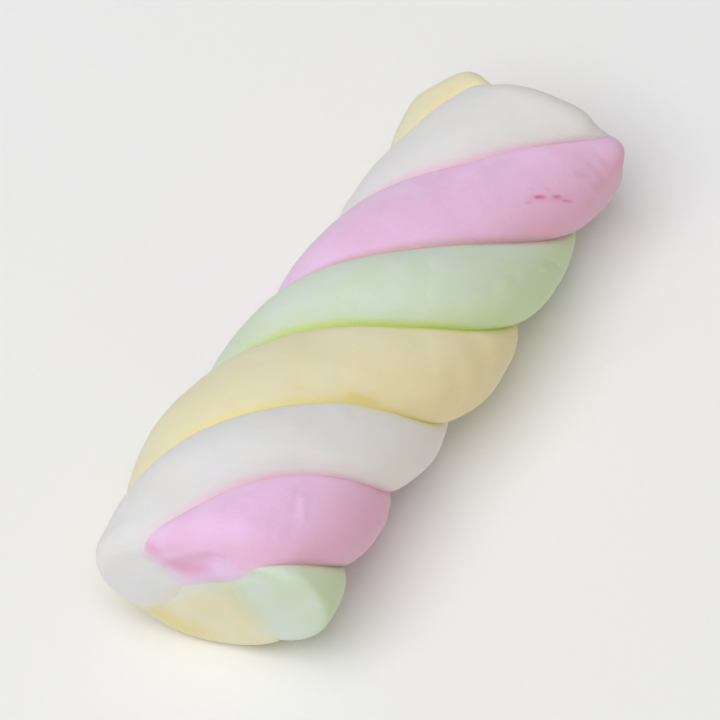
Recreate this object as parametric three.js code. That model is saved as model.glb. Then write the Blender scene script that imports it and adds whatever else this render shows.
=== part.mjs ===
// A twisted marshmallow stick, at its real size.
//
// Four soft ropes of whipped sugar foam (green, yellow, white and pink) are pressed out side by
// side, given a right-handed twist as one bundle and cut to length while they are still soft.
// Each rope is a quarter of the stick for its whole length: the four meet along the middle, part
// at a groove on the outside, and show as four sectors on both cut faces.
//
// Units are millimetres. +X runs along the stick to its far end, +Z is up, the stick lies on
// z = 0, and the origin is under the middle of its box.

import * as THREE from 'three';

// ---- Driving dimensions ----

const BODY_LENGTH = 70.2; // along the middle, from cut to cut
const CREST_RADIUS = 13.05; // from the middle out to the crest of a rope, halfway along
const TWIST_PITCH = 51; // length of one full turn
const GROOVE_DEPTH = 1.65; // from the crest of a rope down to the groove beside it
const CREVICE_DEPTH = 0.45; // the last pinch at the bottom of a groove
const SAG = 0.94; // height over width: soft foam settles a little as it lies
const PRESSED_FLAT = 0.5; // how much of each lowest crest the table has pressed flat
const GAP = 0.3; // clear space between two ropes, measured square to the seam

// Twist that isn't even along the stick, in degrees
const END_SPRING_BACK = 8.9; // both ends have sprung back by this much
const NEAR_TIGHTENING = 6.3; // the near half is wound tighter than the far half

// At even steps from the near cut to the far cut: how full the stick is, as a share of the crest
// radius, and how far its middle line strays sideways
const GIRTH = [0.99, 1.055, 0.995, 1.01, 0.935, 0.94];
const SWAY = [-0.75, 0.55, 0.2, -1, -0.8, -0.6];

// The cuts are square to neither the stick nor the table: how far each leans along the stick
// for every millimetre sideways and up, and how far its rim rounds over
const NEAR_CUT = { sideways: -0.29, upward: -0.03, rim: 1.15 };
const FAR_CUT = { sideways: -0.225, upward: -0.05, rim: 2.3 };

// Two corners of the far cut aren't clean: one tore off last and is drawn out into a blunt peak,
// and one is squeezed outwards. Their angles and how far they spread round the rim, in degrees,
// how far they reach on along the stick, and how far they flare out from it
const CORNERS = [
  { angle: 50, spread: 14, length: 2.6, flare: 0 },
  { angle: 160, spread: 12, length: 1.2, flare: 1.6 },
];

// Going round the stick: the angle of each rope's first seam halfway along, how far that seam
// drifts from the even twist at the far cut and how far it bends away from it at both cuts, all
// in degrees, and how much fuller or flatter the rope is, as a share of the crest radius
const ROPES = [
  { name: 'strand_green', seam: 18.8, drift: 5.9, bend: -3.7, fullness: 0.008, color: '#cbdcc1' },
  { name: 'strand_yellow', seam: 105, drift: -1.7, bend: 0.7, fullness: 0.014, color: '#e2dbb8' },
  { name: 'strand_white', seam: 199.6, drift: -3.2, bend: 0.3, fullness: 0.004, color: '#e3e3e3' },
  { name: 'strand_pink', seam: 280.9, drift: -2, bend: 4, fullness: -0.017, color: '#e8bedc' },
];

// ---- Mesh fineness ----

const BODY_STEPS = 46; // sections along the stick, between the two rims
const RIM_STEPS = 3; // sections round each cut's rim
const WALL_STEPS = 4; // points from the middle out along a seam
const LOBE_STEPS = 14; // points across a rope's outside

// ---- Shape of the stick ----

const HALF_LENGTH = BODY_LENGTH / 2;
const FULL_TURN = 2 * Math.PI;
const LOBE_POWER = 2.3; // how square-shouldered a rope is across its outside
const CREVICE_POWER = 14;
const LEAN_POWER = 1.5; // the lean of a cut dies away towards the middle of the stick
const CORNER_POWER = 8; // and so do the drawn-out corners, much sooner

// A smooth curve through values at even steps, read from the near cut (-1) to the far cut (1)
function smoothCurve(values) {
  const knots = values.map((value, index) => new THREE.Vector2(index, value));
  const curve = new THREE.SplineCurve(knots);
  return (along) => curve.getPoint((along + 1) / 2).y;
}

const girth = smoothCurve(GIRTH);
const sway = smoothCurve(SWAY);

function middleHeight(along) {
  return CREST_RADIUS * girth(along) * SAG - PRESSED_FLAT;
}

function seamAngle(rope, along) {
  const evenTwist = 360 * (along * HALF_LENGTH) / TWIST_PITCH;
  const uneven = -NEAR_TIGHTENING * along ** 2 - END_SPRING_BACK * along ** 3;
  const own = rope.seam + rope.drift * along + rope.bend * along ** 2;
  return THREE.MathUtils.degToRad(evenTwist + uneven + own);
}

// Radius of a rope's outside: across runs from -1 at one seam to 1 at the other
function lobeRadius(rope, along, across, inset) {
  const crest = CREST_RADIUS * girth(along);
  const fuller = CREST_RADIUS * rope.fullness * (1 - across ** 2);
  const groove = GROOVE_DEPTH * Math.abs(across) ** LOBE_POWER;
  const crevice = CREVICE_DEPTH * Math.abs(across) ** CREVICE_POWER;
  return crest + fuller - groove - crevice - inset;
}

// Half the gap, widened in the cross-section by as much as the seam slopes across it there
function seamClearance(radius) {
  return (GAP / 2) * Math.hypot(1, FULL_TURN * radius / TWIST_PITCH);
}

// ---- One rope's cross-section ----

function polar(angle, radius) {
  return new THREE.Vector2(Math.cos(angle), Math.sin(angle)).multiplyScalar(radius);
}

// A point on a seam wall, moved off the seam to one side of it (1 or -1)
function wallPoint(angle, radius, side) {
  const off = polar(angle + side * Math.PI / 2, seamClearance(radius));
  return polar(angle, radius).add(off);
}

// The closed outline, anticlockwise: inner corner, first wall, lobe, second wall
function ropeSection(rope, nextRope, along, inset) {
  const first = seamAngle(rope, along);
  const turns = nextRope.seam < rope.seam ? FULL_TURN : 0;
  const last = seamAngle(nextRope, along) + turns;
  const halfAngle = (last - first) / 2;
  const edge = lobeRadius(rope, along, 1, inset);
  const cornerRadius = GAP / 2 / Math.sin(halfAngle);
  const outline = [polar(first + halfAngle, cornerRadius)];
  for (let i = 1; i <= WALL_STEPS; i += 1) {
    outline.push(wallPoint(first, edge * i / WALL_STEPS, 1));
  }
  const reach = halfAngle - seamClearance(edge) / edge;
  for (let i = 1; i < LOBE_STEPS; i += 1) {
    const even = -1 + 2 * i / LOBE_STEPS;
    const across = (even + Math.sin(even * Math.PI / 2)) / 2; // closer together at the seams
    const radius = lobeRadius(rope, along, across, inset);
    outline.push(polar(first + halfAngle + across * reach, radius));
  }
  for (let i = WALL_STEPS; i >= 1; i -= 1) {
    outline.push(wallPoint(last, edge * i / WALL_STEPS, -1));
  }
  return outline;
}

// How much, from 0 to 1, a drawn-out corner pulls at a point of the cross-section
function cornerPull(corner, point, along) {
  const turned = point.angle() - THREE.MathUtils.degToRad(corner.angle);
  const off = Math.atan2(Math.sin(turned), Math.cos(turned));
  const round = Math.exp(-((off / THREE.MathUtils.degToRad(corner.spread)) ** 2));
  const outward = (point.length() / CREST_RADIUS) ** 2;
  return round * outward * Math.max(along, 0) ** CORNER_POWER;
}

// Carries a point of the cross-section to its place in the stick as it lies
function place(point, along) {
  const cut = along < 0 ? NEAR_CUT : FAR_CUT;
  const slant = cut.sideways * point.x + cut.upward * point.y;
  const lean = slant * Math.abs(along) ** LEAN_POWER;
  const flared = point.clone();
  let reach = 0;
  CORNERS.forEach((corner) => {
    const pull = cornerPull(corner, point, along);
    reach += corner.length * pull;
    flared.add(polar(point.angle(), corner.flare * pull));
  });
  const height = middleHeight(along) + SAG * flared.y;
  return new THREE.Vector3(
    along * HALF_LENGTH + lean + reach,
    flared.x + sway(along),
    Math.max(height, 0),
  );
}

// ---- Sections along the stick ----

// Distances in from the cut and down from the crest that round a rim over
function rimSteps(rim) {
  const steps = [];
  for (let i = 0; i < RIM_STEPS; i += 1) {
    const turn = (i / RIM_STEPS) * Math.PI / 2;
    steps.push({ in: rim * (1 - Math.cos(turn)), inset: rim * (1 - Math.sin(turn)) });
  }
  return steps;
}

function sectionsAlong() {
  const near = rimSteps(NEAR_CUT.rim).map((step) => (
    { along: -1 + step.in / HALF_LENGTH, inset: step.inset }
  ));
  const far = rimSteps(FAR_CUT.rim).reverse().map((step) => (
    { along: 1 - step.in / HALF_LENGTH, inset: step.inset }
  ));
  const start = -1 + NEAR_CUT.rim / HALF_LENGTH;
  const end = 1 - FAR_CUT.rim / HALF_LENGTH;
  const body = [];
  for (let i = 0; i <= BODY_STEPS; i += 1) {
    body.push({ along: THREE.MathUtils.lerp(start, end, i / BODY_STEPS), inset: 0 });
  }
  return [...near, ...body, ...far];
}

// ---- From sections to a closed solid ----

// Skins a row of closed outlines and shuts both ends with a fan from each first point.
// The two halves of an outline lean their diagonals opposite ways, so that the walls of
// two neighbouring ropes are cut into triangles alike and stay the same distance apart.
function skin(rings) {
  const count = rings[0].length;
  const triangles = [];
  for (let i = 0; i < rings.length - 1; i += 1) {
    for (let j = 0; j < count; j += 1) {
      const next = (j + 1) % count;
      const a = i * count + j;
      const b = i * count + next;
      const c = a + count;
      const d = b + count;
      if (j < count / 2) {
        triangles.push(a, b, d, a, d, c);
      } else {
        triangles.push(a, b, c, b, d, c);
      }
    }
  }
  const lastRing = (rings.length - 1) * count;
  for (let j = 1; j < count - 1; j += 1) {
    triangles.push(0, j + 1, j);
    triangles.push(lastRing, lastRing + j, lastRing + j + 1);
  }
  const geometry = new THREE.BufferGeometry().setFromPoints(rings.flat());
  geometry.setIndex(triangles);
  geometry.computeVertexNormals();
  return geometry;
}

function makeRope(rope, nextRope) {
  const rings = sectionsAlong().map(({ along, inset }) => (
    ropeSection(rope, nextRope, along, inset).map((point) => place(point, along))
  ));
  const foam = new THREE.MeshStandardMaterial({ color: rope.color, roughness: 0.85, metalness: 0 });
  const mesh = new THREE.Mesh(skin(rings), foam);
  mesh.name = rope.name;
  return mesh;
}

// ---- The stick ----

const marshmallow = new THREE.Group();
ROPES.forEach((rope, index) => {
  marshmallow.add(makeRope(rope, ROPES[(index + 1) % ROPES.length]));
});

// The leaning cuts and the sway push the box off centre, so the stick moves back over the origin
const middle = new THREE.Box3().setFromObject(marshmallow).getCenter(new THREE.Vector3());
marshmallow.position.set(-middle.x, -middle.y, 0);

export default marshmallow;
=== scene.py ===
# %% [markdown]
# # A twisted marshmallow stick
#
# The real sweet is four soft ropes of whipped sugar foam, green, yellow, white and pink. They are
# pressed out side by side, twisted together to the right as one bundle and cut to length while
# they are still soft. A thin bloom of starch powder keeps them from sticking.
#
# This lesson builds each rope as a piece of its own: a quarter of a disc is swept along a helix by
# one spin, and the straight, even rope that this gives is then laid down, point by point, into the
# uneven shape of the real one. The finish is a soft, cloudy skin that lets some light in.

# %% Open the frame
import cmath
import math
import random

import bmesh
import bpy
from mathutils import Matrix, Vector, noise


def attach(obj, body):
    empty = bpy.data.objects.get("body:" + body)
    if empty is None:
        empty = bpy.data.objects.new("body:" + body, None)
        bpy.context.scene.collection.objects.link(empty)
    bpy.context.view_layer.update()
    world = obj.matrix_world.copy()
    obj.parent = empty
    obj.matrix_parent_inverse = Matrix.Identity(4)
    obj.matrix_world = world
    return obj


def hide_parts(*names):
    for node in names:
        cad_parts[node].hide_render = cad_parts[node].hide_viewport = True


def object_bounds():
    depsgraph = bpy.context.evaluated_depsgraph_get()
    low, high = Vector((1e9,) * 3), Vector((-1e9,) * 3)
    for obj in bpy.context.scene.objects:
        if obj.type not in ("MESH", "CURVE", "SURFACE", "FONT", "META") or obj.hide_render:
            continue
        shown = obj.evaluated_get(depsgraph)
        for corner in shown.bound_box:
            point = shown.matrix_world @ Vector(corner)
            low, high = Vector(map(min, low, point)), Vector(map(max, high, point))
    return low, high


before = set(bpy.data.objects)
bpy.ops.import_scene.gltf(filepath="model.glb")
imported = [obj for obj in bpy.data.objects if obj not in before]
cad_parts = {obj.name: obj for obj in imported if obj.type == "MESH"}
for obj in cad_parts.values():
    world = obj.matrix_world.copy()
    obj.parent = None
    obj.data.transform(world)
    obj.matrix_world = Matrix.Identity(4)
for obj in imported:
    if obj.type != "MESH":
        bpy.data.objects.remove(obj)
cad_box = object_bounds()
print("nodes in the frame:", sorted(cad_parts))
print("box of the frame in mm:", [round(1000 * side, 1) for side in cad_box[1] - cad_box[0]])

# %% [markdown]
# ## The camera
#
# The stick is seen from well above, with its near cut face at the lower left and its far end at
# the upper right. A short lens close up would swell the near end, so a very long lens stands far
# back, which keeps the ropes in true proportion from end to end.
#
# The camera could be placed by eye. Here its three directions are worked out from the two angles
# of the view, and the solids of the frame, seen along them, say where to aim and how far to stand.

# %% Directions of the view
VIEW_AZIMUTH = math.radians(-59.5)
VIEW_ELEVATION = math.radians(58.5)

view_right = Vector((math.cos(VIEW_AZIMUTH), math.sin(VIEW_AZIMUTH), 0))
view_back = Vector((
    math.sin(VIEW_AZIMUTH) * math.cos(VIEW_ELEVATION),
    -math.cos(VIEW_AZIMUTH) * math.cos(VIEW_ELEVATION),
    math.sin(VIEW_ELEVATION),
))
view_up = view_back.cross(view_right)
print("towards the camera:", [round(part, 3) for part in view_back])

# %% Aim and distance
LENS = 1500  # millimetres, on a sensor 36 mm wide
SENSOR = 36
FILL = 0.8  # share of the picture's height that the stick takes


def span(direction):
    """Lowest and highest reach of the frame's solids along a direction."""
    reach = [
        vert.co.dot(direction)
        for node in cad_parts.values()
        for vert in node.data.vertices
    ]
    return min(reach), max(reach)


left_edge, right_edge = span(view_right)
low_edge, high_edge = span(view_up)
near_edge, far_edge = span(view_back)
aim = (
    view_right * (left_edge + right_edge) / 2
    + view_up * (low_edge + high_edge) / 2
    + view_back * (near_edge + far_edge) / 2
)
distance = (high_edge - low_edge) / FILL * LENS / SENSOR
print("camera stands", round(distance, 3), "m from the stick")

# %% Make the camera
camera_data = bpy.data.cameras.new("camera")
camera_data.lens = LENS
camera_data.sensor_width = SENSOR
camera_data.clip_start = distance / 10
camera_data.clip_end = distance * 10
camera = bpy.data.objects.new("camera", camera_data)
camera.rotation_mode = "QUATERNION"
camera.rotation_quaternion = view_back.to_track_quat("Z", "Y")
camera.location = aim + view_back * distance
bpy.context.scene.collection.objects.link(camera)
bpy.context.scene.camera = camera

# %% [markdown]
# ## Sizes of the stick
#
# The driving sizes are those of the solids in the frame, so that each rope made here fills the
# place of its solid. They are written in metres, a millimetre at a time.
#
# Nothing on the real stick is quite even. It is fuller near one end, its middle line strays a
# millimetre to either side, both ends have sprung back a little after the twist, and each seam
# drifts and bends by a few degrees. Each of these is a number here, instead of a random draw,
# because it is what tells this stick from a drawing of one.

# %% Driving sizes
MM = 0.001

BODY_LENGTH = 70.2 * MM  # along the middle, from cut to cut
HALF_LENGTH = BODY_LENGTH / 2
CREST_RADIUS = 13.05 * MM  # from the middle out to the crest of a rope, halfway along
TWIST_PITCH = 51 * MM  # length of one full turn
GROOVE_DEPTH = 1.65 * MM
SAG = 0.94  # height over width
PRESSED_FLAT = 0.5 * MM  # how much of each lowest crest the table has pressed flat
END_SPRING_BACK = math.radians(8.9)
NEAR_TIGHTENING = math.radians(6.3)

# at even steps from the near cut to the far cut: fullness, and how far the middle strays sideways
GIRTH = [0.99, 1.055, 0.995, 1.01, 0.935, 0.94]
SWAY = [-0.75 * MM, 0.55 * MM, 0.2 * MM, -1 * MM, -0.8 * MM, -0.6 * MM]

# how far each cut leans along the stick per length sideways and up
NEAR_LEAN = (-0.29, -0.03)
FAR_LEAN = (-0.225, -0.05)
FAR_RIM = 2.3 * MM  # how far the rim of the far cut rounds over

# two corners of the far cut, one drawn out into a blunt peak and one squeezed outwards: angle and
# spread round the rim, reach on along the stick, and flare out from it
FAR_CORNERS = [
    (math.radians(50), math.radians(14), 2.6 * MM, 0),
    (math.radians(160), math.radians(12), 1.2 * MM, 1.6 * MM),
]
print("turns in the whole stick:", round(BODY_LENGTH / TWIST_PITCH, 2))

# %% [markdown]
# The ropes differ a little from each other. One row each says where the first seam of the rope
# stands halfway along, how far that seam drifts by the far cut and bends by both cuts, and how
# full the rope is. Three more numbers are only seen close up: how deep the seam pinches in, how
# far the skin turned over the near cut when the blade squeezed it, and how far the seam bows to
# one side on that cut.

# %% The four ropes


def rope_row(name, seam, drift, bend, fullness, pinch, near_rim, bow):
    return {
        "name": name,
        "seam": math.radians(seam),
        "drift": math.radians(drift),
        "bend": math.radians(bend),
        "fullness": fullness,
        "pinch": pinch * MM,
        "near_rim": near_rim * MM,
        "bow": bow * MM,
    }


ROPES = [
    rope_row("green", 18.8, 5.9, -3.7, 0.008, 0.35, 1.2, 0.3),
    rope_row("yellow", 105, -1.7, 0.7, 0.014, 0.40, 3.0, 1.0),
    rope_row("white", 199.6, -3.2, 0.3, 0.004, 0.18, 2.3, -0.9),
    rope_row("pink", 280.9, -2, 4, -0.017, 0.22, 4.2, 0.4),
]
COUNT = len(ROPES)

# how far the first seam of each rope strays besides, in degrees, at even steps from the near cut
# to the far cut
STRAYS = {
    "green": [-2.8, -2.3, -1.4, -0.6, 0.2, 0.7, 0.7, 0.2, -0.4, -0.5, -0.1, 0.8, 2.1,
              3.4, 4.0, 2.3, -1.3, -3.6, -5.3, -6.2, -6.3, -4.5, -2.6, -1.4, -0.5],
    "yellow": [0, 0.3, 0.5, 0.2, -0.3, -0.7, -0.6, -0.6, -1.4, -2.3, -2.7, 0.9, 3.6,
               2.4, 0.4, -2.8, -5.1, -4.1, -2.8, -1.3, -0.2, 0.4, 0.6, 0.4, 0],
    "white": [0, 0.5, 1.3, 2.5, 3.9, 4.2, 1.8, -1.9, -5.2, -1.8, 2.0, 3.4, 2.6,
              1.2, 0, -0.3, 0.2, 0.6, 0.3, -0.2, -0.3, -0.2, 0, 0, 0],
    "pink": [2.4, 4.0, 0, -3.8, -5.0, -3.8, -0.5, 3.0, 3.5, 2.5, 1.1, -0.1, -0.7,
             -0.8, -0.3, 0.2, 0.2, -0.4, -0.6, 1.1, 3.3, 0, -1.4, -0.7, 0],
}
print("ropes, going round:", [rope["name"] for rope in ROPES])

# %% [markdown]
# ## The shape as a few small functions
#
# A point on a rope needs only three numbers: `along` the stick from -1 at the near cut to 1 at the
# far cut, `across` the rope from -1 at one seam to 1 at the other, and how far `out` it is, from 0
# on the middle line to 1 on the skin. The functions below turn those three into a place.

# %% Functions along the stick


def smooth_through(values, along):
    """A smooth curve through values at even steps, read from -1 to 1."""
    where = (along + 1) / 2 * (len(values) - 1)
    index = max(0, min(int(where), len(values) - 2))
    part = where - index
    before = values[max(index - 1, 0)]
    start = values[index]
    end = values[index + 1]
    after = values[min(index + 2, len(values) - 1)]
    leave = (end - before) / 2
    arrive = (after - start) / 2
    cubic = (2 * start - 2 * end + leave + arrive) * part ** 3
    square = (-3 * start + 3 * end - 2 * leave - arrive) * part ** 2
    return cubic + square + leave * part + start


def seam_angle(index, along):
    """Angle of the first seam of a rope. The rope after the last is the first, one turn on."""
    rope = ROPES[index % COUNT]
    even = 2 * math.pi * along * HALF_LENGTH / TWIST_PITCH
    uneven = -NEAR_TIGHTENING * along ** 2 - END_SPRING_BACK * along ** 3
    own = rope["seam"] + rope["drift"] * along + rope["bend"] * along ** 2
    stray = math.radians(smooth_through(STRAYS[rope["name"]], along))
    return own + even + uneven + stray + 2 * math.pi * (index // COUNT)


print("girth from end to end:",
      [round(smooth_through(GIRTH, part / 2), 3) for part in range(-2, 3)])

# %% [markdown]
# A rope's outside is a round-shouldered lobe. It falls away to a groove at each seam and pinches
# in sharply at the very bottom, where two ropes press together. Towards the cuts the grooves fill
# up, and the skin turns over in a quarter circle, which is the rim.

# %% Functions across a rope
LOBE_POWER = 2.3
PINCH_POWER = 14
GROOVE_FILL = 0.45  # share of a groove that is filled up at a cut


def pinch_at(index, across):
    """A seam's pinch belongs to the rope that starts there, so both its sides match."""
    owner = index if across < 0 else index + 1
    return ROPES[owner % COUNT]["pinch"]


def rim_at(index, along, across):
    """How far the skin rounds over. At a seam, two neighbours share the mean of their rims."""
    if along > 0:
        return FAR_RIM
    own = ROPES[index]["near_rim"]
    neighbour = ROPES[(index + (1 if across > 0 else -1)) % COUNT]["near_rim"]
    return own + (neighbour - own) / 2 * abs(across) ** 3


def skin_radius(index, along, across):
    crest = CREST_RADIUS * smooth_through(GIRTH, along)
    fuller = CREST_RADIUS * ROPES[index]["fullness"] * (1 - across ** 2)
    groove = GROOVE_DEPTH * abs(across) ** LOBE_POWER
    pinch = pinch_at(index, across) * abs(across) ** PINCH_POWER
    open_share = 1 - GROOVE_FILL * abs(along) ** 12
    rim = rim_at(index, along, across)
    short = max(rim - (1 - abs(along)) * HALF_LENGTH, 0)
    turned_in = rim - math.sqrt(max(rim ** 2 - short ** 2, 0))
    return crest + fuller - (groove + pinch) * open_share - turned_in


print("radius at crest and seam in mm:",
      [round(skin_radius(0, 0, across) / MM, 2) for across in (0, 1)])

# %% [markdown]
# ## The squeezed core
#
# Cut straight through, the four ropes would meet in one point. The blade squeezed them on its way,
# so at the near cut the meeting point has moved up and split in two: yellow and pink touch along a
# short line, and white and green no longer reach each other. A point of the cross-section is kept
# as a complex number, sideways plus upward times i, which makes turning and mixing points short.

# %% Where the inner corner of a rope is
CORE_RISE = complex(0.0, 2.65) * MM
CORE_SPLIT = complex(2.6, -1.65) * MM
CORE_POWER = 6  # the squeeze dies away quickly behind the cut
CORNER_SIDE = {"green": -1, "yellow": 0, "white": 1, "pink": 0}
SPOKE_STEPS = 16  # steps from the middle of the stick out to its skin
KNEE_STEP = 3  # the step that falls on the knee of a seam, so that no corner is cut off


def crowd(share):
    """Moves steps closer together towards the ends of a range from -1 to 1."""
    return (share + math.sin(share * math.pi / 2)) / 2


def core_at(along):
    """The middle of the core, which the squeeze has moved."""
    return max(-along, 0) ** CORE_POWER * CORE_RISE


def corner_at(index, along):
    """The inner corner of a rope in the cross-section."""
    side = CORNER_SIDE[ROPES[index % COUNT]["name"]]
    return core_at(along) + side * max(-along, 0) ** CORE_POWER * CORE_SPLIT


def seam_point(corner, knee, tip, bow, out):
    """A point of a seam that runs from the corner straight to a knee, and bows from there on."""
    knee_out = 0 if knee == corner else crowd(KNEE_STEP / SPOKE_STEPS)
    if out < knee_out:
        return corner + (knee - corner) * out / knee_out
    passed = (out - knee_out) / (1 - knee_out)
    aside = 1j * (tip - knee) / abs(tip - knee)
    return knee + (tip - knee) * passed + bow * math.sin(math.pi * passed) * aside


print("core at the near cut in mm:", corner_at(2, -1) / MM, corner_at(0, -1) / MM)

# %% [markdown]
# ## Laying a point down
#
# The cross-section is a flat pattern seen along the stick. To lay it down, the pattern is lowered
# onto the table and pressed flat where it touches, swayed sideways and leaned over with the cut.
# A hard stop at the table would leave a crease round every flat spot, so a soft stop is used.

# %% Place a point of the cross-section
TABLE_SOFTNESS = 0.06 * MM
LEAN_POWER = 1.5
CORNER_POWER = 8


def soft_stop(height):
    """Follows the height when it is well above the table, and stays just above it otherwise."""
    return (height + math.hypot(height, 2 * TABLE_SOFTNESS)) / 2


def corner_pulls(along, flat):
    """How far the two far corners draw a point on along the stick, and out from it."""
    reach, flare = 0, 0
    if along < 0.3 or flat == 0:
        return reach, flare
    for angle, spread, length, width in FAR_CORNERS:
        off = cmath.phase(flat * cmath.exp(-1j * angle)) / spread
        outward = (abs(flat) / CREST_RADIUS) ** 2
        pull = math.exp(-off ** 2) * outward * along ** CORNER_POWER
        reach += length * pull
        flare += width * pull
    return reach, flare


def place(along, flat):
    """Carries a point of the cross-section to its place in the stick as it lies."""
    per_sideways, per_upward = NEAR_LEAN if along < 0 else FAR_LEAN
    lean = (per_sideways * flat.real + per_upward * flat.imag) * abs(along) ** LEAN_POWER
    reach, flare = corner_pulls(along, flat)
    flared = flat + (flat / abs(flat) * flare if flare else 0)
    middle_height = CREST_RADIUS * smooth_through(GIRTH, along) * SAG - PRESSED_FLAT
    return Vector((
        along * HALF_LENGTH + lean + reach,
        flared.real + smooth_through(SWAY, along),
        soft_stop(middle_height + SAG * flared.imag),
    ))


print("middle of the stick:", place(0, 0j))

# %% [markdown]
# The cut faces aren't dead flat. Each rope's quarter puffs out a little in the middle, since it
# was under pressure when the blade went through.

# %% Lay a point of a rope
CUT_PUFF = 0.4 * MM
AT_CUT = 0.99999  # how far along, to either side, a point counts as on a cut face
KNEE_POWER = 3  # how close to a seam its knee is felt


def lay(index, along, across, out=1):
    """Where the point of a rope that has these three numbers lies in the finished stick."""
    first, last = seam_angle(index, along), seam_angle(index + 1, along)
    side = 1 if across > 0 else -1
    corner = corner_at(index, along)
    angle = first + (last - first) / 2 * (1 + across)
    flat = corner + (skin_radius(index, along, across) * cmath.exp(1j * angle) - corner) * out
    squeeze = max(-along, 0) ** CORE_POWER
    if squeeze > 0:
        seam_tip = skin_radius(index, along, side) * cmath.exp(1j * (last if side > 0 else first))
        neighbour = corner_at(index + side, along)
        knee = neighbour if corner == core_at(along) else corner
        bow = squeeze * ROPES[(index + 1 if side > 0 else index) % COUNT]["bow"]
        straight = corner + (seam_tip - corner) * out
        bend = seam_point(corner, knee, seam_tip, bow, out) - straight
        flat += bend * abs(across) ** KNEE_POWER
    spot = place(along, flat)
    if abs(along) > AT_CUT:
        puff = CUT_PUFF * (1 - across ** 2) * math.sin(math.pi * out)
        spot.x += puff if along > 0 else -puff
    return spot


print("crest of the green rope:", lay(0, 0, 0, 1))

# %% [markdown]
# The leaning cuts and the sway push the stick off the middle of its own coordinates. The solids
# were moved back over the origin, so the ropes move by as much: from the middle of the box of a
# coarse net of their points to the middle of the frame's box.

# %% Find the shift over the frame
net = [
    lay(index, along / 100, across / 20, 1)
    for index in range(COUNT)
    for along in range(-100, 101)
    for across in range(-20, 21)
]
own_middle = [(min(co[axis] for co in net) + max(co[axis] for co in net)) / 2 for axis in (0, 1)]
frame_middle = (cad_box[0] + cad_box[1]) / 2
shift = Vector((frame_middle.x - own_middle[0], frame_middle.y - own_middle[1], 0))
print("shift in mm:", [round(part / MM, 2) for part in shift])

# %% [markdown]
# ## One rope by two spins
#
# A rope could be lofted ring by ring, but Blender's spin does the whole job. The first spin turns
# one spoke through a quarter of a circle and leaves a fan of faces. The second turns that fan as
# it moves along the axis, which draws the helix and leaves both cut faces filled.

# %% Spin a wedge and sweep it
LOBE_STEPS = 80  # across a rope
SWEEP_STEPS = 400  # along the stick
QUARTER = math.pi / 2
SWEEP_TURN = 2 * math.pi * BODY_LENGTH / TWIST_PITCH
AXIS = (1, 0, 0)


def spin_wedge(bm):
    start = Vector((-HALF_LENGTH, 0, 0))
    corner = bm.verts.new(start)
    edge_angle = -SWEEP_TURN / 2 - QUARTER / 2
    radial = Vector((0, math.cos(edge_angle), math.sin(edge_angle)))
    crest = bm.verts.new(start + radial * CREST_RADIUS)
    spoke = bm.edges.new((corner, crest))
    bmesh.ops.subdivide_edges(bm, edges=[spoke], cuts=SPOKE_STEPS - 1)
    bmesh.ops.spin(bm, geom=bm.verts[:] + bm.edges[:], cent=start, axis=AXIS,
                   angle=QUARTER, steps=LOBE_STEPS)
    bmesh.ops.remove_doubles(bm, verts=bm.verts, dist=CREST_RADIUS / 10000)


def sweep_wedge(bm):
    wedge = bm.verts[:] + bm.edges[:] + bm.faces[:]
    stride = (BODY_LENGTH / SWEEP_STEPS, 0, 0)
    bmesh.ops.spin(bm, geom=wedge, cent=(0, 0, 0), axis=AXIS, dvec=stride,
                   angle=SWEEP_TURN, steps=SWEEP_STEPS)
    bmesh.ops.recalc_face_normals(bm, faces=bm.faces)


print("points in one section of a rope:", (LOBE_STEPS + 1) * SPOKE_STEPS + 1)

# %% [markdown]
# Even steps waste points in the middle and starve the edges, where the rims and seams turn
# sharply, so the steps are crowded towards both ends of each range.
#
# Each point also keeps its distance from both seams and from the cut, so that the finish can
# change there. They are true distances, so a stain is as wide on a cut face as on the skin.

# %% Lay a whole rope down
CUT_FADE = 0.9 * MM
GROOVE_POWER = 8  # how late along the stick the grooves' painted shade fades


def read_straight_rope(co):
    """The three numbers of a point, read from its place in the straight, even rope."""
    share = max(-1, min(1, co.x / HALF_LENGTH))
    reach = math.hypot(co.y, co.z)
    turned = math.atan2(co.z, co.y) - share * SWEEP_TURN / 2
    turned = (turned + math.pi) % (2 * math.pi) - math.pi
    across = turned / (QUARTER / 2) if reach > CREST_RADIUS / 1000 else 0
    across = max(-1, min(1, across))
    return crowd(share), crowd(across), crowd(min(reach / CREST_RADIUS, 1))


def lay_rope_down(bm, index):
    layers = {name: bm.verts.layers.float.new(name)
              for name in ("before", "after", "cut", "groove", "sore_and_shade", "lit_and_dusted")}
    for vert in bm.verts:
        along, across, out = read_straight_rope(vert.co)
        vert.co = lay(index, along, across, out)
        half_angle = (seam_angle(index + 1, along) - seam_angle(index, along)) / 2
        radius = skin_radius(index, along, across) * out
        from_cut = (1 - abs(along)) * HALF_LENGTH
        vert[layers["before"]] = radius * math.sin(half_angle * (1 + across))
        vert[layers["after"]] = radius * math.sin(half_angle * (1 - across))
        vert[layers["cut"]] = max(0, 1 - from_cut / CUT_FADE)
        vert[layers["groove"]] = 1 - abs(along) ** GROOVE_POWER


print("the first steps from a cut inwards:", [round(crowd(-1 + step / 8), 3) for step in range(4)])

# %% [markdown]
# ## Marks left on soft foam
#
# Foam this soft keeps every touch. Its skin swells and ripples gently, and at a closer look it is
# slightly rough. That could be left to a bump map, but then the outline would stay too clean, so
# these waves move the mesh, each point along its normal.

# %% Waves of the skin
WAVES = [  # wavelength and height
    (9.0 * MM, 0.22 * MM),
    (3.2 * MM, 0.08 * MM),
    (1.2 * MM, 0.025 * MM),
]
WAVE_SHIFT = Vector((7.3, 1.7, 4.1))  # keeps the waves from lining up with each other


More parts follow.
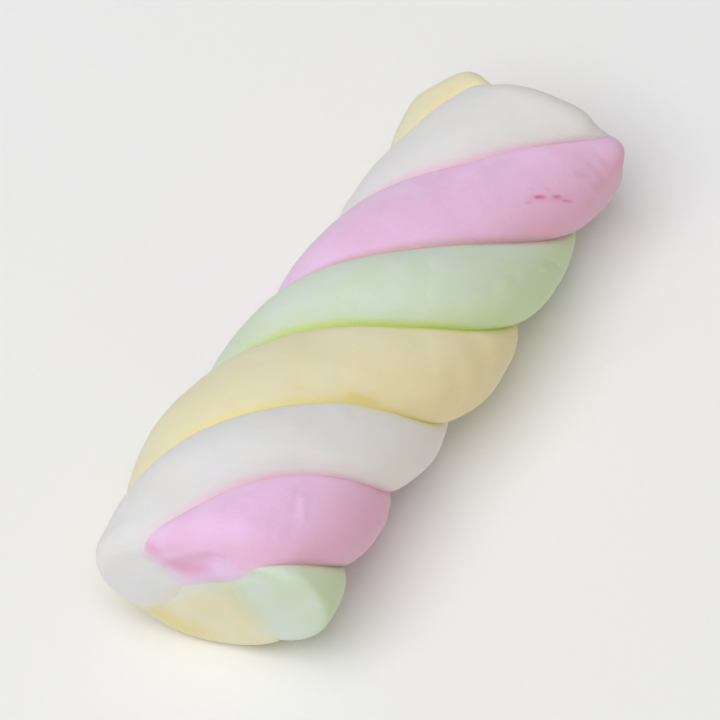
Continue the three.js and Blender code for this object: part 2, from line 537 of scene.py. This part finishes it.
def skin_wave(point):
    height = 0
    for index, (length, swing) in enumerate(WAVES):
        shifted = point / length + WAVE_SHIFT * (index + 1)
        height += swing * noise.noise(shifted)
    return height


print("wave at the middle in mm:", round(skin_wave(Vector((0, 0, 0))) / MM, 3))

# %% [markdown]
# Other marks are single events: a row of small tears where a bubble burst under the stretched
# skin, wrinkles at a rim, a crease from a neighbour's edge, flats from the jar. Each is a line of
# points with a width and a height. A `step` stays raised on one side of its line, which is how a
# fold looks, and the soreness says how much of the darker, unpowdered foam shows. Under a fold and
# in the wrinkles and the crease, that darker colour is painted shade as well.

# %% Marks in place
MARKS = {rope["name"]: [] for rope in ROPES}


def mark(name, line, width, height, sore_and_shade=0, step=False):
    """One mark on a rope. Each spot of its line is along and across, and out on a cut face."""
    index = [rope["name"] for rope in ROPES].index(name)
    points = [lay(index, *spot) + shift for spot in line]
    middle = sum(points, Vector()) / len(points)
    reach = max((point - middle).length for point in points) + 3 * width * MM
    MARKS[name].append({
        "points": points, "width": width * MM, "height": height * MM, "sore_and_shade": sore_and_shade,
        "step": step, "middle": middle, "reach": reach,
    })


# tears in the pink rope where a bubble burst
mark("pink", [(0.660, 0.05), (0.677, 0.04)], 0.19, -0.26, sore_and_shade=0.75)
mark("pink", [(0.703, 0.05), (0.714, 0.04)], 0.19, -0.24, sore_and_shade=0.75)
mark("pink", [(0.713, 0.13), (0.731, 0.15)], 0.17, -0.14, sore_and_shade=0.4)
mark("pink", [(0.622, 0.19), (0.634, 0.16)], 0.16, -0.10, sore_and_shade=0.3)
mark("pink", [(0.666, -0.11), (0.674, -0.12)], 0.14, -0.06, sore_and_shade=0.2)
mark("pink", [(0.701, -0.11), (0.708, -0.10)], 0.14, -0.06, sore_and_shade=0.2)
mark("pink", [(0.644, 0.09), (0.733, 0.10)], 0.50, -0.08, sore_and_shade=0.15)

# wrinkles near the far cut; their small soreness paints a little shade in their hollows
mark("pink", [(0.814, -0.39), (0.836, -0.35)], 0.40, -0.12, sore_and_shade=0.06)
mark("pink", [(0.867, -0.51), (0.859, -0.24)], 0.60, -0.16, sore_and_shade=0.08)
mark("pink", [(0.906, -0.71), (0.899, -0.50)], 0.60, -0.14, sore_and_shade=0.08)
mark("pink", [(0.803, -0.12), (0.817, 0.07)], 0.50, 0.12)
mark("green", [(0.543, -0.62), (0.562, -0.57), (0.584, -0.45)], 0.42, -0.15, sore_and_shade=0.1)
mark("green", [(0.501, -0.48), (0.527, -0.39)], 0.30, 0.10)

# the pink rope's crease, and its fold and tip at the near cut; the soreness of the crease is a
# little painted shade, and that of the fold paints the soft shadow under it
mark("pink", [(-0.700, -0.73), (-0.779, -0.28)], 0.55, -0.14, sore_and_shade=0.06)
mark("pink", [(-0.779, -0.28), (-0.889, 0.41)], 0.70, -0.08)
mark("pink", [(-0.734, -0.46), (-0.790, -0.12)], 0.50, 0.16)
mark("pink", [(-0.816, -0.29), (-0.904, 0.30)], 0.40, -0.05)
mark("pink", [(-0.990, -0.89), (-0.998, -0.78)], 0.75, 0, sore_and_shade=0.26)
mark("pink", [(-1, -0.93, 0.72), (-1, -0.72, 0.80), (-1, -0.27, 0.88), (-0.998, 0.18),
              (-0.996, 0.45)], 0.65, 0.34, sore_and_shade=0.22, step=True)
mark("pink", [(-1, -0.60, 0.64), (-1, -0.10, 0.56), (-1, 0.20, 0.64)], 1.0, 0, sore_and_shade=0.24)

# bare foam at the rim of the yellow cut face
mark("yellow", [(-1, 0.75, 0.95), (-1, 0.25, 0.97)], 2.2, 0, sore_and_shade=0.45)

# folds across the green rope, flats on the others, and the white rope's swollen far rim
mark("green", [(0.281, -0.68), (0.177, 0.05), (0.101, 0.59)], 0.5, 0.15, step=True)
mark("green", [(0.397, -0.51), (0.330, -0.05), (0.280, 0.38)], 0.6, 0.09, step=True)
mark("green", [(0.013, 0.28), (-0.029, 0.72)], 0.5, -0.07)
mark("yellow", [(-0.163, -0.47), (-0.279, 0.45)], 1.6, -0.13)
mark("yellow", [(-0.003, -0.60), (-0.064, -0.05)], 1.6, -0.20)
mark("yellow", [(0.014, -0.27), (-0.024, 0.26)], 1.7, -0.20)
mark("yellow", [(0.160, -0.81), (0.134, -0.50)], 1.5, -0.15)
mark("yellow", [(0.110, -0.53), (0.130, -0.21)], 2.4, -0.28)
mark("yellow", [(-0.300, 0.84), (-0.279, 0.86), (-0.262, 0.90)], 0.55, 0, sore_and_shade=0.5)
mark("white", [(-0.490, -0.27), (-0.456, -0.17)], 2.0, -0.12)
mark("white", [(-0.839, 0.59), (-0.791, 0.59)], 2.2, -0.14)
mark("white", [(0.955, -0.35), (0.965, 0.10), (0.972, 0.45)], 2.4, 0.50)
mark("pink", [(0.456, 0.44), (0.479, 0.40)], 1.1, -0.10)
print("single marks:", sum(len(marks) for marks in MARKS.values()))

# %% [markdown]
# The unseen sides have been touched as often as the others. A few broad dents and ridges are
# strewn over each rope, drawn from a fixed seed so that they never change.

# %% Strewn dents
STREWN_PER_ROPE = 14
strewing = random.Random(11)
for index, rope in enumerate(ROPES):
    for _ in range(STREWN_PER_ROPE):
        along, across = strewing.uniform(-0.95, 0.95), strewing.uniform(-0.7, 0.7)
        end = along + strewing.uniform(-0.04, 0.04), across + strewing.uniform(-0.1, 0.1)
        width = strewing.uniform(0.8, 2.4)
        height = strewing.choice((-0.13, -0.09, 0.07))
        mark(rope["name"], [(along, across), end], width, height)
print("all marks:", sum(len(marks) for marks in MARKS.values()))

# %% Press the marks in
STEP_REACH = 3  # how many widths of its line a step stays raised beside it
FOLD_END = 4  # a fold runs out over one part in this many of its line, at both ends


def nearest_on_line(points, co):
    """The nearest point of a line of points, which way the line runs there, and how far along."""
    best = None
    for index in range(len(points) - 1):
        start = points[index]
        way = points[index + 1] - start
        share = max(0, min(1, (co - start).dot(way) / way.length_squared))
        spot = start + way * share
        off = (co - spot).length
        if best is None or off < best[0]:
            best = off, spot, way, (index + share) / (len(points) - 1)
    return best


def mark_effect(each, co, normal):
    """How far one mark lifts a point of the skin, and how much darker bare foam and painted shade
    it gives it.
    """
    if (co - each["middle"]).length > each["reach"]:
        return 0, 0
    off, spot, way, passed = nearest_on_line(each["points"], co)
    near = math.exp(-(off / each["width"]) ** 2)
    if not each["step"]:
        return each["height"] * near, each["sore_and_shade"] * near
    side = way.cross(co - spot).dot(normal)
    beside = math.exp(-(off / each["width"] / STEP_REACH) ** 2)
    ends = min(1, FOLD_END * passed, FOLD_END * (1 - passed))
    raised = each["height"] * (1 - near) * beside * ends
    # On the lower side of a fold the soreness reaches as far as the step, which paints the soft
    # shadow under the fold.
    return (raised, each["sore_and_shade"] * near) if side > 0 else (-raised, each["sore_and_shade"] * beside * ends)


SEAM_HOLD = 1.8 * MM  # points closer to a seam than this move less
LIGHT_AND_POWDER_FROM = (Vector((0, 0, 0.9)) - 0.45 * view_right).normalized()  # where the light and the dusting came from


def roughen(bm, name):
    """Moves each point of the skin along its normal. Seams are held, so that no gap opens."""
    bm.normal_update()
    before = bm.verts.layers.float["before"]
    after = bm.verts.layers.float["after"]
    sore_and_shade = bm.verts.layers.float["sore_and_shade"]
    lit_and_dusted = bm.verts.layers.float["lit_and_dusted"]
    moves = []
    for vert in bm.verts:
        # how far the point faces the lamps and the dusting; the finish paints the side facing away
        # darker and more saturated, as shade
        vert[lit_and_dusted] = vert.normal.dot(LIGHT_AND_POWDER_FROM)
        from_seam = min(vert[before], vert[after]) / SEAM_HOLD
        if from_seam < 0.001:
            continue
        free = 1 - max(1 - from_seam, 0) ** 2
        height = skin_wave(vert.co)
        for each in MARKS[name]:
            lift, soreness_and_shade = mark_effect(each, vert.co, vert.normal)
            height += lift
            vert[sore_and_shade] += soreness_and_shade
        moves.append((vert, vert.normal * height * free))
    for vert, move in moves:
        vert.co += move
        vert.co.z = max(vert.co.z, 0)


print("powder came from:", [round(part, 2) for part in LIGHT_AND_POWDER_FROM])

# %% [markdown]
# ## The finish
#
# Marshmallow is cloudy: light goes in a millimetre or so, scatters and comes out again, which
# softens every shadow and warms the grooves. On top lies a dusting of starch, so there is hardly
# any shine. Paint alone would look like chalk, so the shader scatters light below the surface and
# wears a faint sheen for the powder. The colour also carries painted light and shade: paler on the
# side facing the lamps, partly from the starch, deeper and more saturated on the side away from
# them, and shade and bounced colour painted into the grooves.
#
# The shader's sums are written as plain expressions. A small class wraps each output, and adding
# or multiplying two of them adds the Math node that does it.

# %% Sums on sockets


class Wire:
    """An output of a node, which can be used in sums."""

    def __init__(self, finish, socket):
        self.finish = finish
        self.socket = socket

    def join(self, operation, first, second):
        return self.finish.node("ShaderNodeMath", {"operation": operation}, {0: first, 1: second})

    def __add__(self, other):
        return self.join("ADD", self, other)

    def __radd__(self, other):
        return self.join("ADD", other, self)

    def __sub__(self, other):
        return self.join("SUBTRACT", self, other)

    def __rsub__(self, other):
        return self.join("SUBTRACT", other, self)

    def __mul__(self, other):
        return self.join("MULTIPLY", self, other)

    def __rmul__(self, other):
        return self.join("MULTIPLY", other, self)


class Finish:
    """One material. Every node in it comes from the method node."""

    def __init__(self, name):
        self.material = bpy.data.materials.new(name)
        self.material.use_nodes = True
        self.tree = self.material.node_tree
        self.tree.nodes.clear()

    def node(self, kind, settings=None, sockets=None, output=0):
        made = self.tree.nodes.new(kind)
        for name, setting in (settings or {}).items():
            setattr(made, name, setting)
        for name, value in (sockets or {}).items():
            if isinstance(value, Wire):
                self.tree.links.new(value.socket, made.inputs[name])
            else:
                made.inputs[name].default_value = value
        return Wire(self, made.outputs[output]) if made.outputs else None

    def mix(self, factor, first, second):
        """A colour between two others."""
        settings = {"data_type": "RGBA"}
        return self.node("ShaderNodeMix", settings, {0: factor, 6: first, 7: second}, output=2)

    def between(self, value, low, high):
        """0 below low, 1 above high, and smooth between them."""
        settings = {"interpolation_type": "SMOOTHSTEP"}
        sockets = {"Value": value, "From Min": low, "From Max": high}
        return self.node("ShaderNodeMapRange", settings, sockets)

    def grain(self, size, detail=2.0):
        """Noise with grains of a size in metres, read from the object's own coordinates."""
        here = self.node("ShaderNodeTexCoord", output=3)
        return self.node("ShaderNodeTexNoise", None,
                         {"Vector": here, "Scale": 1 / size, "Detail": detail})

    def read(self, name):
        """A number that each point of the mesh keeps."""
        return self.node("ShaderNodeAttribute", {"attribute_name": name}, output=2)

    def show(self, shader):
        self.node("ShaderNodeOutputMaterial", None, {"Surface": shader})
        return self.material


print("shader helpers ready")

# %% [markdown]
# Colours are given as seen on a screen, from 0 to 255, and turned into the light values that the
# shader works in. Each rope has a deeper colour, its bare foam and its tone on the side in shade,
# and a paler one, its powdered skin and its tone on the side facing the lamps, so that light and
# shade are partly painted between them. Each rope also has a painted colour of shade and bounced
# light for its groove, and one for sore marks. Where the ropes were cut, two neighbours smear into
# each other at their seam: both turn half into the other there, so the change of colour has no
# line in it.

# %% Colours


def screen(red, green, blue):
    """A colour as seen on a screen, as the light values that a shader wants."""
    light = []
    for value in (red, green, blue):
        share = value / 255
        light.append(share / 12.92 if share <= 0.04045 else ((share + 0.055) / 1.055) ** 2.4)
    return (*light, 1.0)


# each rope's bare foam, and also its painted tone on the side in shade
FOAM_AND_SHADE = {
    "green": screen(207, 223, 178),
    "yellow": screen(236, 220, 170),
    "white": screen(234, 228, 220),
    "pink": screen(234, 179, 201),
}
# each rope's powdered skin, and also its painted tone on the side facing the lamps
POWDERED_AND_LIT = {
    "green": screen(217, 229, 219),
    "yellow": screen(233, 229, 199),
    "white": screen(228, 229, 231),
    "pink": screen(242, 209, 245),
}
# painted shade and colour bounced between the walls of the groove where each rope's first seam lies
GROOVE_SHADE_AND_BOUNCE = {
    "green": screen(208, 172, 172),
    "yellow": screen(198, 216, 94),
    "white": screen(238, 226, 150),
    "pink": screen(236, 196, 216),
}
# darker, bare foam at tears and rims; under the pink fold and in the creases it is painted shade
SORE_AND_SHADE_TONE = {
    "green": screen(176, 198, 150),
    "yellow": screen(228, 210, 102),
    "white": screen(196, 190, 182),
    "pink": screen(222, 112, 150),
}
print("pink foam as light:", [round(part, 2) for part in FOAM_AND_SHADE["pink"]])

# %% The foam's finish
SCATTER_REACH = 0.6 * MM
SCATTER_COLOURS = {
    "green": (0.9, 1.0, 0.75),
    "yellow": (1.0, 0.9, 0.55),
    "white": (1.0, 0.97, 0.92),
    "pink": (1.0, 0.7, 0.9),
}
GROOVE_SHADE_BEFORE = 0.7 * MM  # how far a groove's painted shade and bounced colour reach over the skin from the first seam
GROOVE_SHADE_AFTER = 1.5 * MM  # and from the second seam
WIDE_GROOVE_SHADE_REACH = 6 * MM  # the second seam's painted shade and bounced colour also spread wide and faint, by this much
WIDE_GROOVE_SHADE = {"green": 0.14, "yellow": 0.1, "white": 0.12, "pink": 0.05}
# how far, in millimetres, colours bleed over a cut face from each rope's first seam
BLEED = {"green": 0.9, "yellow": 1.7, "white": 1.5, "pink": 0.9}
GROOVE_SHADE_SHARE = 0.7  # how much of the groove's painted shade and bounced colour shows at its seam
BLEED_SHARE = 0.5  # half of each, so that the two sides of a cut seam match
RAGGED = 0.5 * MM  # how far the edges of the painted groove shade and of the cut smears wander
SEAM_CLOSE = 0.2 * MM  # how near to a seam no light scatters below the skin
SEAM_CLEAR = 1.4 * MM  # how far from a seam it may scatter in full
SMEAR_GRAIN = 1.2 * MM  # sizes of the grains of noise, here of the edges of the painted groove shade and the smears
BLOOM_GRAIN = 5 * MM  # of patches where more or less powder stuck
DUST_GRAIN = 0.25 * MM  # of the powder itself
PORE_GRAIN = 0.35 * MM  # of the foam's pores
GRIT_GRAIN = 0.12 * MM  # of the starch on them
PORE_DEPTH = 0.08 * MM


def foam_finish(rope, before, after):
    """The finish of one rope, between the rope before it and the rope after it."""
    finish = Finish(f"{rope}_foam")
    cut = finish.read("cut")
    ragged = RAGGED * (finish.grain(SMEAR_GRAIN) - 0.5)
    to_before = finish.read("before") + ragged
    to_after = finish.read("after") + ragged
    bloom = finish.between(finish.grain(BLOOM_GRAIN, detail=4), 0.3, 0.7)
    dust = finish.grain(DUST_GRAIN)
    # The side facing the lamps is painted paler and the side away from them deeper and more
    # saturated: partly the starch, partly painted light and shade.
    settled_and_lit = finish.between(finish.read("lit_and_dusted"), -0.2, 0.9)
    on_skin = settled_and_lit * (0.62 + 0.3 * bloom)
    on_cut = 0.45 + 0.5 * bloom
    powder_and_light = (1 - cut) * on_skin + cut * on_cut + 0.25 * (dust - 0.5)
    colour = finish.mix(powder_and_light, FOAM_AND_SHADE[rope], POWDERED_AND_LIT[rope])
    # Painted shade and bounced colour in the grooves, fading towards the cuts.
    groove_shade_left = finish.read("groove")
    # The second seam's painted shade and bounced colour also spread wide and faint.
    wide_shade = (1 - finish.between(to_after, 0, WIDE_GROOVE_SHADE_REACH)) * groove_shade_left
    colour = finish.mix(WIDE_GROOVE_SHADE[rope] * wide_shade, colour, GROOVE_SHADE_AND_BOUNCE[after])
    for distance, reach, neighbour, owner in (
            (to_before, GROOVE_SHADE_BEFORE, before, rope), (to_after, GROOVE_SHADE_AFTER, after, after)):
        groove_shade = (1 - finish.between(distance, 0, reach)) * groove_shade_left
        bleed = (1 - finish.between(distance, 0, BLEED[owner] * MM)) * cut
        colour = finish.mix(GROOVE_SHADE_SHARE * groove_shade, colour, GROOVE_SHADE_AND_BOUNCE[owner])
        theirs = finish.mix(powder_and_light, FOAM_AND_SHADE[neighbour], POWDERED_AND_LIT[neighbour])
        colour = finish.mix(BLEED_SHARE * bleed, colour, theirs)
    # Sore marks: darker bare foam at tears and rims, and painted shade under the pink fold and in
    # the creases.
    colour = finish.mix(finish.read("sore_and_shade"), colour, SORE_AND_SHADE_TONE[rope])
    roughness = 0.78 + 0.14 * bloom
    height = finish.grain(PORE_GRAIN, detail=3) + 0.6 * finish.grain(GRIT_GRAIN)
    bump = finish.node("ShaderNodeBump", None,
                       {"Strength": 0.35, "Distance": PORE_DEPTH, "Height": height})
    skin = {
        "Base Color": colour,
        "Roughness": roughness,
        "Normal": bump,
        "Specular IOR Level": 0.25,
        "Sheen Weight": 0.12,
        "Sheen Roughness": 0.6,
    }
    scatter = {
        "Subsurface Weight": 0.7,
        "Subsurface Radius": SCATTER_COLOURS[rope],
        "Subsurface Scale": SCATTER_REACH,
    }
    open_foam = finish.node("ShaderNodeBsdfPrincipled", None, {**skin, **scatter})
    seam_foam = finish.node("ShaderNodeBsdfPrincipled", None, skin)
    clear_before = finish.between(to_before, SEAM_CLOSE, SEAM_CLEAR)
    clear_after = finish.between(to_after, SEAM_CLOSE, SEAM_CLEAR)
    return finish.show(finish.node("ShaderNodeMixShader", None, {
        0: clear_before * clear_after, 1: seam_foam, 2: open_foam}))


print("light goes in by about", round(SCATTER_REACH / MM, 1), "mm")

# %% [markdown]
# ## Making the four ropes
#
# With the tools ready, the ropes are made in one loop. Each takes the place of its solid in the
# frame, rides on the one body that the frame has, and names the material slot it belongs to.

# %% Make the ropes
ON_SEAM = MM / 1000  # how near to a seam a point counts as on it


def keep_seams_crisp(bm):
    """Marks the edges that lie on a seam sharp, so that a wall can't shade the skin beside it."""
    before = bm.verts.layers.float["before"]
    after = bm.verts.layers.float["after"]
    on_seam = {vert.index for vert in bm.verts if min(vert[before], vert[after]) < ON_SEAM}
    for edge in bm.edges:
        edge.smooth = not all(vert.index in on_seam for vert in edge.verts)


def make_rope(index):
    name = ROPES[index]["name"]
    bm = bmesh.new()
    spin_wedge(bm)
    sweep_wedge(bm)
    lay_rope_down(bm, index)
    bmesh.ops.translate(bm, verts=bm.verts, vec=shift)
    roughen(bm, name)
    bm.verts.index_update()
    keep_seams_crisp(bm)
    mesh = bpy.data.meshes.new(f"{name}_rope")
    bm.to_mesh(mesh)
    bm.free()
    mesh.polygons.foreach_set("use_smooth", [True] * len(mesh.polygons))
    piece = bpy.data.objects.new(f"{name}_rope", mesh)
    bpy.context.scene.collection.objects.link(piece)
    return piece


pieces = [make_rope(index) for index in range(COUNT)]
for piece in pieces:
    print(piece.name, "has", len(piece.data.polygons), "faces")

# %% Give each rope its place and finish
for index, piece in enumerate(pieces):
    name = ROPES[index]["name"]
    before = ROPES[index - 1]["name"]
    after = ROPES[(index + 1) % COUNT]["name"]
    piece.data.materials.append(foam_finish(name, before, after))
    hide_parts(f"strand_{name}")
    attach(piece, "root")
    print(piece.name, "lies between", before, "and", after)

# %% [markdown]
# ## Floor and light
#
# The stick lies on a plain pale floor. The light is that of a bright, soft tabletop: one broad
# lamp at the upper left of the picture, a weak one in front for the cut face, a weaker, warm one
# on the right, and an even glow all round, so that shadows stay faint and the pastel colours keep
# their own tones.

# %% Floor
FLOOR_REACH = 40 * BODY_LENGTH

floor_mesh = bpy.data.meshes.new("floor")
bm = bmesh.new()
bmesh.ops.create_grid(bm, x_segments=8, y_segments=8, size=FLOOR_REACH)
bm.to_mesh(floor_mesh)
bm.free()
floor = bpy.data.objects.new("floor", floor_mesh)
bpy.context.scene.collection.objects.link(floor)

floor_finish = Finish("floor_paper")
speckle = floor_finish.grain(0.6 * MM)
paper = floor_finish.mix(speckle, screen(245, 245, 245), screen(248, 248, 248))
floor_shader = floor_finish.node("ShaderNodeBsdfPrincipled", None,
                                 {"Base Color": paper, "Roughness": 0.9, "Specular IOR Level": 0.1})
floor_mesh.materials.append(floor_finish.show(floor_shader))
print("floor reaches", round(FLOOR_REACH, 1), "m to each side")

# %% Lamps
# which way each stands off, in shares of the view's right, up and back; then how far it is, its
# size, its watts and its colour
LAMPS = {
    "window": ((-0.29, 0.25, 1.0), 1.5, 1.2, 15.4, (1, 1, 1)),
    "front": ((-0.3, -1.0, 0.6), 1.5, 1.0, 2.4, (1, 1, 1)),
    "bounce": ((1.0, 0.1, 0.6), 0.7, 0.6, 0.13, (1, 0.8, 0.55)),
}
GLOW = 0.35  # strength of the even light all round


def soft_lamp(name, shares, far, size, watts, colour):
    """A broad square lamp that stands off the stick and faces it."""
    direction = shares[0] * view_right + shares[1] * view_up + shares[2] * view_back
    data = bpy.data.lights.new(name, "AREA")
    data.size = size
    data.energy = watts
    data.color = colour
    lamp = bpy.data.objects.new(name, data)
    lamp.location = aim + direction.normalized() * far
    lamp.rotation_mode = "QUATERNION"
    lamp.rotation_quaternion = direction.to_track_quat("Z", "Y")
    bpy.context.scene.collection.objects.link(lamp)


for name, row in LAMPS.items():
    soft_lamp(name, *row)

world = bpy.data.worlds.new("glow")
world.use_nodes = True
background = world.node_tree.nodes["Background"]
background.inputs["Color"].default_value = (1, 1, 1, 1)
background.inputs["Strength"].default_value = GLOW
bpy.context.scene.world = world
bpy.context.scene.view_settings.view_transform = "Standard"
print("lamps:", sorted(LAMPS))
